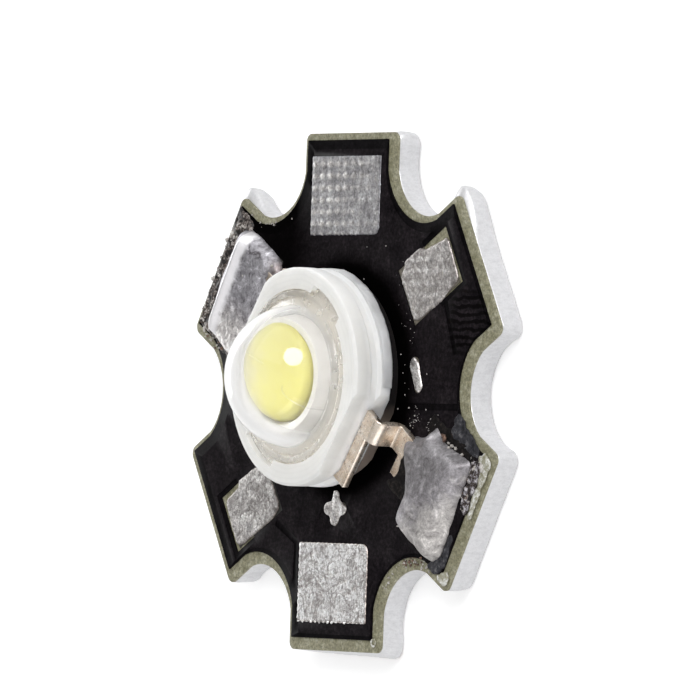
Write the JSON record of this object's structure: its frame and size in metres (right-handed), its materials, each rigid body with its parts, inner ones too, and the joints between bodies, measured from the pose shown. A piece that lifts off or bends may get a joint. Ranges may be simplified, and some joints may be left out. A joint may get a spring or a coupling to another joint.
{
  "type": "high power led",
  "caption": "High power LED: a white moulded emitter with a clear dome, soldered by two leads to a star-shaped metal-core board with notches for screws.",
  "frame": {"origin": "centre of the back face of the star board", "axes": "+Z along the optical axis, out of the front; +Y towards a lobe with a wide wire pad; +X towards a screw notch"},
  "size_m": [0.0192, 0.019, 0.0059],
  "materials": {
    "aluminium": "sheared, with fine punched lines on the edge",
    "dielectric": "matt olive resin",
    "foil": "tarnished copper foil",
    "solder_mask": "glossy black lacquer",
    "tin": "dull hot-dipped tin",
    "solder": "dull grey solder",
    "thermal_bond": "grey filled adhesive",
    "slug": "silver-plated copper",
    "white_moulding": "white moulding, slightly translucent",
    "lead": "plated copper strip",
    "attach": "silver-filled adhesive",
    "die": "polished crystal",
    "phosphor": "yellow powder in clear resin",
    "gold": "drawn gold wire",
    "silicone": "clear soft silicone",
    "clear_lens": "clear moulded plastic"
  },
  "bodies": {
    "root": {"base_plate": "aluminium", "dielectric_layer": "dielectric", "anode_foil": "foil", "cathode_foil": "foil", "thermal_land": "foil", "solder_mask": "solder_mask", "tin_pad_top": "tin", "tin_pad_bottom": "tin", "tin_pad_upper_right": "tin", "tin_pad_lower_left": "tin", "plus_mark": "tin", "minus_mark": "tin", "solder_joint_right": "solder", "solder_joint_left": "solder", "thermal_bond": "thermal_bond", "heat_slug": "slug", "body_moulding": "white_moulding", "lead_right": "lead", "lead_left": "lead", "die_attach": "attach", "led_die": "die", "phosphor": "phosphor", "bond_wire_right": "gold", "bond_wire_left": "gold", "silicone_fill": "silicone", "lens": "clear_lens"}
  },
  "joints": []
}
